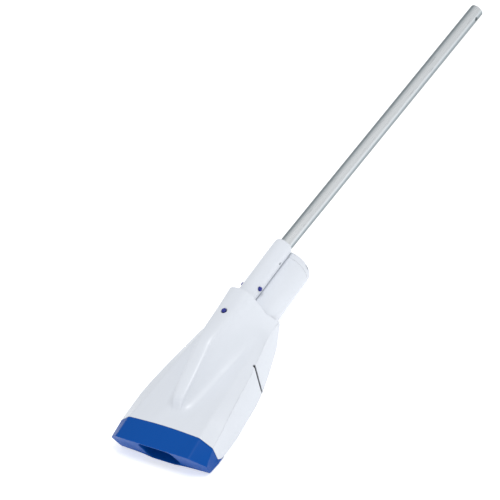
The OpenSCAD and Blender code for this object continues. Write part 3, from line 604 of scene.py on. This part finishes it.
def make_clip_button(side, name):
    start, tip, r, dome = 11.5, 25.5, 4.6, 2.6
    shoulder = tip - start - dome
    profile = [(r - 0.3, 0), (r, 0.3), (r, shoulder)]
    for k in range(1, 7):
        a = math.pi / 2 * k / 6
        profile.append((r * math.cos(a) * 0.999 + 0.004, shoulder + dome * math.sin(a)))
    return lathe(name, profile, on_pole(CLIP_ALONG, side * start), (side, 0, 0), 48)


def make_lever_spring():
    """Two turns of round wire between the lever and the roof of the shell."""
    turns, coil_r, wire_r, steps, sides = 2, 2.2, 0.25, 96, 12
    foot, top, centre_y = LEVER_Z + 1.58, 136.82, 349.0
    rings = []
    for k in range(steps + 1):
        turn = 2 * math.pi * turns * k / steps
        z = foot + wire_r + (top - foot - 2 * wire_r) * k / steps
        ring = []
        for j in range(sides):
            a = 2 * math.pi * j / sides
            r = coil_r + wire_r * math.cos(a)
            ring.append((r * math.cos(turn), centre_y + r * math.sin(turn), z + wire_r * math.sin(a)))
        rings.append(ring)
    return loft("lever_spring_wire", rings)


def make_clip_spring():
    """A bent strip whose two ends push the snap buttons out."""
    half_thick, half_wide, edge = 0.4, 4.0, 0.15
    side = [(11.05, -60), (11.05, CLIP_ALONG), (11.05, -47.5), (10.95, -46.2), (10.65, -44.6),
            (7.7, -32), (4.6, -19), (1.6, -6.2), (1.35, -5.2), (0.95, -4.4), (0.45, -3.95)]
    path = side + [(-x, along) for x, along in reversed(side)]
    width = Vector((0, math.sin(POLE_TILT), math.cos(POLE_TILT)))
    rings = []
    for k, (x, along) in enumerate(path):
        before, after = path[max(k - 1, 0)], path[min(k + 1, len(path) - 1)]
        run = on_pole(after[1], after[0]) - on_pole(before[1], before[0])
        across = run.cross(width).normalized()
        corners = [(half_thick, half_wide - edge), (half_thick - edge, half_wide)]
        corners += [(-a, b) for a, b in reversed(corners)]
        corners += [(a, -b) for a, b in reversed(corners)]
        rings.append([tuple(on_pole(along, x) + across * a + width * b) for a, b in corners])
    return loft("clip_spring_leaf", rings)


# ---- Materials -----------------------------------------------------------
class Material:
    """A node material under construction. Texture coordinates are the part's own metres."""

    def __init__(self, name):
        self.mat = bpy.data.materials.new(name)
        self.mat.use_nodes = True
        self.tree = self.mat.node_tree
        self.tree.nodes.clear()
        self.coord = self.add("TexCoord").outputs["Object"]

    def add(self, kind, inputs=None, **settings):
        node = self.tree.nodes.new("ShaderNode" + kind)
        for key, value in settings.items():
            setattr(node, key, value)
        for key, value in (inputs or {}).items():
            if isinstance(value, bpy.types.NodeSocket):
                self.tree.links.new(value, node.inputs[key])
            else:
                node.inputs[key].default_value = value
        return node

    def math(self, operation, a, b=0.0):
        return self.add("Math", {0: a, 1: b}, operation=operation).outputs[0]

    def ramp(self, value, low, high, out_low=0.0, out_high=1.0):
        inputs = {"Value": value, "From Min": low, "From Max": high, "To Min": out_low, "To Max": out_high}
        return self.add("MapRange", inputs, clamp=True).outputs["Result"]

    def noise(self, scale, detail=3.0, rough=0.5, stretch=None):
        vector = self.coord
        if stretch:
            vector = self.add("Mapping", {"Vector": vector, "Scale": stretch}).outputs["Vector"]
        inputs = {"Vector": vector, "Scale": scale, "Detail": detail, "Roughness": rough}
        return self.add("TexNoise", inputs).outputs["Fac"]

    def mix(self, factor, a, b):
        node = self.add("Mix", data_type="RGBA")
        for key, value in (("Factor", factor), ("A", a), ("B", b)):
            kind = "VALUE" if key == "Factor" else "RGBA"
            sockets = [s for s in node.inputs if s.name == key and s.type == kind]
            if isinstance(value, bpy.types.NodeSocket):
                self.tree.links.new(value, sockets[0])
            else:
                sockets[0].default_value = value
        return [s for s in node.outputs if s.type == "RGBA"][0]

    def edges(self, radius):
        """(softened normal, share of edge at each point) for a rounding of radius metres."""
        soft = self.add("Bevel", {"Radius": radius}, samples=6).outputs["Normal"]
        flat = self.add("NewGeometry").outputs["Normal"]
        dot = self.add("VectorMath", {0: soft, 1: flat}, operation="DOT_PRODUCT").outputs["Value"]
        return soft, self.ramp(dot, 0.995, 0.86)

    def crevices(self, distance):
        """1 in the open, towards 0 in corners and gaps."""
        return self.add("AmbientOcclusion", {"Distance": distance}, samples=6).outputs["AO"]

    def bump(self, height, strength, distance, normal=None):
        inputs = {"Height": height, "Strength": strength, "Distance": distance}
        if normal is not None:
            inputs["Normal"] = normal
        return self.add("Bump", inputs).outputs["Normal"]

    def finish(self, inputs):
        shader = self.add("BsdfPrincipled", inputs)
        output = self.add("OutputMaterial")
        self.tree.links.new(shader.outputs[0], output.inputs["Surface"])
        return self.mat


def rgb(r, g, b):
    """Linear colour from a display colour of 0 to 255."""
    def line(c):
        c /= 255
        return c / 12.92 if c <= 0.04045 else ((c + 0.055) / 1.055) ** 2.4
    return (line(r), line(g), line(b), 1.0)


def scaled(colour, k):
    """The colour made k times as bright."""
    return tuple(c * k for c in colour[:3]) + (1.0,)


def plastic(name, colour, edge_colour, roughness=0.36, grain=0.12, edge_radius=0.0009, gloss=0.5):
    """Moulded plastic: fine spark grain, faint flow marks, rubbed edges and a little painted shade in its
    gaps.
    """
    m = Material(name)
    soft, edge = m.edges(edge_radius)
    flow = m.noise(9, 4, 0.55, stretch=(1.0, 0.35, 1.0))
    tone = m.mix(m.ramp(flow, 0.3, 0.7), scaled(colour, 0.955), scaled(colour, 1.03))
    speck = m.ramp(m.noise(2600, 1, 0.4), 0.25, 0.75)
    tone = m.mix(m.math("MULTIPLY", speck, 0.05), tone, scaled(colour, 0.8))
    rub = m.math("MULTIPLY", edge, m.ramp(m.noise(140, 5, 0.65), 0.38, 0.66))
    tone = m.mix(m.math("MULTIPLY", rub, 0.55), tone, edge_colour)
    # painted shade: the colour darkens where ambient occlusion finds corners and gaps
    crevice_shade = m.ramp(m.crevices(0.004), 0.35, 0.85, 1.0, 0.0)
    tone = m.mix(m.math("MULTIPLY", crevice_shade, 0.4), tone, scaled(colour, 0.42))
    smear = m.noise(34, 5, 0.6, stretch=(1.0, 0.5, 1.0))
    rough = m.ramp(smear, 0.3, 0.7, roughness - 0.05, roughness + 0.07)
    rough = m.math("ADD", rough, m.math("MULTIPLY", rub, 0.15))
    height = m.noise(1500, 2, 0.5)
    fine = m.bump(height, grain, 0.0002, soft)
    wave = m.bump(m.noise(22, 2, 0.5), 0.06, 0.0008, fine)
    return m.finish({"Base Color": tone, "Roughness": rough, "Normal": wave, "Specular IOR Level": gloss})


def rubber(name, colour):
    """Dull rubber with a pale bloom in patches."""
    m = Material(name)
    soft, edge = m.edges(0.0004)
    tone = m.mix(m.ramp(m.noise(60, 4), 0.3, 0.7), scaled(colour, 0.8), scaled(colour, 1.35))
    bloom = m.math("MULTIPLY", m.ramp(m.noise(220, 5, 0.7), 0.5, 0.8), 0.25)
    tone = m.mix(bloom, tone, scaled(colour, 2.6))
    tone = m.mix(m.math("MULTIPLY", edge, 0.3), tone, scaled(colour, 2.0))
    rough = m.ramp(m.noise(90, 3), 0.3, 0.7, 0.62, 0.82)
    normal = m.bump(m.noise(900, 3), 0.25, 0.0002, soft)
    return m.finish({"Base Color": tone, "Roughness": rough, "Normal": normal, "Specular IOR Level": 0.3})


def metal(name, colour, roughness, stretch, edge_radius=0.0003):
    """Metal with fine lines along one direction, stretch says which."""
    m = Material(name)
    soft, edge = m.edges(edge_radius)
    lines = m.noise(900, 4, 0.6, stretch=stretch)
    cloud = m.noise(26, 4, 0.5)
    tone = m.mix(m.ramp(lines, 0.3, 0.7), scaled(colour, 0.86), scaled(colour, 1.06))
    tone = m.mix(m.math("MULTIPLY", m.ramp(cloud, 0.35, 0.7), 0.2), tone, scaled(colour, 0.8))
    tone = m.mix(m.math("MULTIPLY", edge, 0.4), tone, scaled(colour, 1.25))
    # painted shade: darker where ambient occlusion finds corners and gaps
    crevice_shade = m.ramp(m.crevices(0.002), 0.3, 0.8, 1.0, 0.0)
    tone = m.mix(m.math("MULTIPLY", crevice_shade, 0.5), tone, scaled(colour, 0.3))
    rough = m.math("ADD", m.ramp(lines, 0.3, 0.7, roughness - 0.05, roughness + 0.08),
                   m.math("MULTIPLY", cloud, 0.06))
    normal = m.bump(lines, 0.12, 0.0001, soft)
    return m.finish({"Base Color": tone, "Metallic": 1.0, "Roughness": rough, "Normal": normal})


def pole_material():
    """Drawn, satin anodised aluminium tube: lines along the tube, a painted reflection down its middle and
    painted shade on its flanks.
    """
    m = Material("pole_aluminium_finish")
    soft, _ = m.edges(0.0003)
    lines = m.noise(1100, 4, 0.6, stretch=(1.0, 0.012, 1.0))
    cloud = m.noise(8, 4, 0.5, stretch=(1.0, 0.3, 1.0))
    # painted reflection and shade: pale where the tube faces the camera, mid grey and then dark towards its
    # flanks
    facing = m.add("LayerWeight", {"Blend": 0.5}).outputs["Facing"]
    light, mid, dark = rgb(253, 254, 255), rgb(160, 170, 175), rgb(84, 92, 96)
    tone = m.mix(m.ramp(facing, 0.1, 0.45), light, mid)
    tone = m.mix(m.ramp(facing, 0.36, 0.78), tone, dark)
    tone = m.mix(m.math("MULTIPLY", m.ramp(lines, 0.35, 0.65), 0.12), tone, mid)
    tone = m.mix(m.math("MULTIPLY", m.ramp(cloud, 0.4, 0.7), 0.06), tone, dark)
    scratch = m.ramp(m.noise(420, 2, 0.4, stretch=(1.0, 0.05, 1.0)), 0.69, 0.74)
    tone = m.mix(m.math("MULTIPLY", scratch, 0.35), tone, dark)
    rough = m.ramp(lines, 0.3, 0.7, 0.24, 0.36)
    normal = m.bump(lines, 0.08, 0.0001, soft)
    return m.finish({"Base Color": tone, "Metallic": 0.8, "Roughness": rough, "Normal": normal})


def round_axis(m, centre_z):
    """Angle round the motor unit's axis, in radians, and distance along it."""
    xyz = m.add("SeparateXYZ", {"Vector": m.coord})
    up = m.math("SUBTRACT", xyz.outputs["Z"], centre_z)
    return m.math("ARCTAN2", up, xyz.outputs["X"]), xyz.outputs["Y"]


def woven(name, colour, pitch, count, holes):
    """Woven net on the round bag: threads round it and along it, with open gaps between them."""
    m = Material(name)
    angle, along = round_axis(m, UNIT_Z * MM)
    warp = m.math("SINE", m.math("MULTIPLY", angle, count))
    weft = m.math("SINE", m.math("MULTIPLY", along, 2 * math.pi / pitch))
    over = m.math("MULTIPLY", m.math("SINE", m.math("MULTIPLY", angle, count / 2)),
                  m.math("SINE", m.math("MULTIPLY", along, math.pi / pitch)))
    thread = m.math("MAXIMUM", m.math("ADD", warp, m.math("MULTIPLY", over, 0.4)),
                    m.math("SUBTRACT", weft, m.math("MULTIPLY", over, 0.4)))
    cloth = m.ramp(thread, -0.2, 0.9)
    tone = m.mix(cloth, scaled(colour, 0.35), scaled(colour, 1.1))
    soil = m.ramp(m.noise(38, 5, 0.6), 0.5, 0.75)
    tone = m.mix(m.math("MULTIPLY", soil, 0.18), tone, (0.16, 0.14, 0.08, 1))
    fuzz = m.noise(1900, 3, 0.6)
    height = m.math("ADD", thread, m.math("MULTIPLY", fuzz, 0.5))
    normal = m.bump(height, 0.55, 0.0004)
    alpha = m.ramp(thread, -0.75, -0.45, 1.0 - holes, 1.0)
    return m.finish({"Base Color": tone, "Roughness": 0.82, "Normal": normal, "Alpha": alpha,
                     "Sheen Weight": 0.25, "Specular IOR Level": 0.25})


def cell_wrap():
    """Shrink film on the battery cells, with faint rings and a pale band near one end."""
    m = Material("cell_wrap_finish")
    soft, edge = m.edges(0.0005)
    _, along = round_axis(m, UNIT_Z * MM)
    rings = m.noise(500, 3, 0.5, stretch=(0.15, 1.0, 0.15))
    base = rgb(32, 118, 84)
    tone = m.mix(m.ramp(rings, 0.35, 0.65), scaled(base, 0.85), scaled(base, 1.1))
    band = m.math("MULTIPLY", m.ramp(along, 0.498, 0.4985), m.ramp(along, 0.5045, 0.504))
    tone = m.mix(band, tone, rgb(226, 228, 224))
    tone = m.mix(m.math("MULTIPLY", edge, 0.5), tone, scaled(base, 1.7))
    rough = m.ramp(m.noise(60, 3), 0.3, 0.7, 0.25, 0.42)
    return m.finish({"Base Color": tone, "Roughness": rough, "Normal": m.bump(rings, 0.2, 0.0002, soft)})


def circuit_board():
    """Solder mask with raised tracks and tinned pads."""
    m = Material("board_finish")
    soft, _ = m.edges(0.0003)
    green = rgb(22, 88, 52)
    bricks = m.add("TexBrick", {"Vector": m.coord, "Scale": 240.0, "Mortar Size": 0.02}).outputs["Fac"]
    tone = m.mix(m.math("MULTIPLY", bricks, 0.6), green, scaled(green, 1.9))
    cells = m.add("TexVoronoi", {"Vector": m.coord, "Scale": 330.0}).outputs["Distance"]
    pads = m.ramp(cells, 0.2, 0.16)
    tone = m.mix(pads, tone, rgb(206, 204, 190))
    rough = m.ramp(m.noise(200, 3), 0.3, 0.7, 0.3, 0.5)
    return m.finish({"Base Color": tone, "Roughness": rough, "Metallic": m.math("MULTIPLY", pads, 0.8),
                     "Normal": m.bump(bricks, 0.3, 0.0002, soft)})


def make_materials():
    white, blue, navy = rgb(211, 215, 222), rgb(0, 72, 152), rgb(18, 32, 128)
    return {
        "white_plastic": plastic("white_plastic_finish", white, rgb(243, 246, 250), 0.34, 0.10),
        "blue_plastic": plastic("blue_plastic_finish", blue, rgb(52, 104, 190), 0.42, 0.10, gloss=0.12),
        "dark_blue_plastic": plastic("dark_blue_plastic_finish", navy, rgb(60, 84, 190), 0.26, 0.06, 0.0005),
        "inner_plastic": plastic("inner_plastic_finish", rgb(142, 146, 152), rgb(176, 180, 186),
                                 0.5, 0.2, 0.0006),
        "rubber": rubber("rubber_finish", rgb(38, 38, 41)),
        "flap_rubber": rubber("flap_rubber_finish", rgb(6, 34, 104)),
        "steel": metal("steel_finish", rgb(176, 178, 182), 0.3, (1.0, 0.05, 1.0)),
        "pole_aluminium": pole_material(),
        "brass": metal("brass_finish", rgb(214, 178, 98), 0.26, (1.0, 0.1, 1.0)),
        "filter_net": woven("filter_net_finish", rgb(92, 142, 198), 0.0014, 140, 0.85),
        "cell_wrap": cell_wrap(),
        "board": circuit_board(),
        "lead_wire": plastic("lead_wire_finish", rgb(176, 26, 24), rgb(214, 90, 80), 0.42, 0.08, 0.0003),
    }


def give(obj, material):
    """The object's only material."""
    obj.data.materials.clear()
    obj.data.materials.append(material)


# ---- Assembly ------------------------------------------------------------
def place(obj, body, material, slot_name, nodes=(), angle=32):
    """Finishes a piece, puts it on its body and hides the CAD nodes it stands for."""
    give(obj, material)
    shade(obj, angle)
    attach(obj, body)
    if nodes:
        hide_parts(*nodes)


def place_springs(steel):
    """Builds the lever spring on the chamber and the snap buttons' spring on the motor unit, each with its
    own mesh.
    """
    lever_spring = make_lever_spring()
    place(lever_spring, "chamber", steel, "steel", ("lever_spring",))
    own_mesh(lever_spring)
    clip_spring = make_clip_spring()
    place(clip_spring, "motor_unit", steel, "steel", ("clip_spring",))
    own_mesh(clip_spring)


def build():
    finishes = make_materials()
    for part in frame["record"]["subparts"]:
        give(frame["nodes"][part["node"]], finishes[part["material_slot"]])
    white, navy = finishes["white_plastic"], finishes["dark_blue_plastic"]
    place(make_upper_shell(), "chamber", white, "white_plastic", ("upper_shell",))
    place(make_lower_shell(), "chamber", white, "white_plastic", ("lower_shell",))
    place(make_nozzle(), "nozzle", finishes["blue_plastic"], "blue_plastic", ("nozzle",))
    place(make_filter_bag(), "motor_unit", finishes["filter_net"], "filter_net", ("filter_bag",), 60)
    hem = woven("bag_hem_finish", rgb(60, 104, 164), 0.0009, 260, 0.0)
    place(make_bag_hem(), "motor_unit", hem, "filter_net", (), 60)
    place(make_release_button(), "lever", navy, "dark_blue_plastic", ("release_button",))
    for side, word in ((-1, "left"), (1, "right")):
        button = make_clip_button(side, f"clip_button_{word}_cap")
        place(button, f"clip_{word}", navy, "dark_blue_plastic", (f"clip_button_{word}",))
    place_springs(finishes["steel"])


# ---- Stage ---------------------------------------------------------------
def make_floor():
    half, rear_y, z = 6000.0, 12000.0, -1
    points = [(-half, -half, z), (half, -half, z), (half, rear_y, z), (-half, rear_y, z)]
    floor = add_mesh("floor", points, [(0, 1, 2, 3)])
    m = Material("floor_finish")
    tone = m.mix(m.ramp(m.noise(3, 3), 0.3, 0.7), (0.93, 0.935, 0.94, 1), (0.955, 0.957, 0.96, 1))
    # seen from below, the floor lets the object's underside show
    from_above = m.math("SUBTRACT", 1.0, m.add("NewGeometry").outputs["Backfacing"])
    give(floor, m.finish({"Base Color": tone, "Roughness": 0.9, "Specular IOR Level": 0.1,
                          "Alpha": from_above, "Emission Color": (1, 1, 1, 1), "Emission Strength": 0.4}))


def make_light(name, place_at, target, size, power, colour=(1, 1, 1)):
    data = bpy.data.lights.new(name, "AREA")
    data.shape = "DISK"
    data.size = size
    data.energy = power
    data.color = colour
    light = bpy.data.objects.new(name, data)
    light.location = place_at
    light.rotation_euler = (Vector(target) - Vector(place_at)).to_track_quat("-Z", "Y").to_euler()
    bpy.context.scene.collection.objects.link(light)


def make_stage():
    make_floor()
    world = bpy.data.worlds.new("studio")
    bpy.context.scene.world = world
    world.use_nodes = True
    tree = world.node_tree
    back = tree.nodes["Background"]
    back.inputs["Color"].default_value = (0.97, 0.985, 1.0, 1.0)
    # plain white where the camera sees it, softer where it lights the object
    path = tree.nodes.new("ShaderNodeLightPath")
    strength = tree.nodes.new("ShaderNodeMapRange")
    strength.inputs["To Min"].default_value = 0.68
    strength.inputs["To Max"].default_value = 1.05
    tree.links.new(path.outputs["Is Camera Ray"], strength.inputs["Value"])
    tree.links.new(strength.outputs["Result"], back.inputs["Strength"])
    middle = (0.0, 0.35, 0.07)
    make_light("key", (0.85, 0.2, 2.35), middle, 0.9, 27, (1.0, 0.995, 0.985))
    make_light("front", (-0.2, -2.1, 0.75), middle, 1.6, 9, (0.97, 0.98, 1.0))
    bpy.context.scene.view_settings.view_transform = "Standard"


def make_camera():
    """A long lens along the direction in which the reference view was taken."""
    lens, sensor = 300.0, 36.0
    image_width, pixels_per_mm = 500, 0.4895
    right = Vector((0.8012, 0.5298, -0.2775)).normalized()
    back = Vector((0.5486, -0.4905, 0.6768)).normalized()
    right = (right - back * right.dot(back)).normalized()
    up = back.cross(right)
    data = bpy.data.cameras.new("camera")
    data.lens = lens
    data.sensor_width = sensor
    data.clip_end = 100
    distance = lens / sensor * image_width / pixels_per_mm * MM
    camera = bpy.data.objects.new("camera", data)
    bpy.context.scene.collection.objects.link(camera)
    turn = Matrix((right, up, back)).transposed().to_4x4()
    camera.matrix_world = Matrix.Translation(Vector((0.0017, 0.4427, 0.1915)) + back * distance) @ turn
    bpy.context.scene.camera = camera


build()
make_stage()
make_camera()
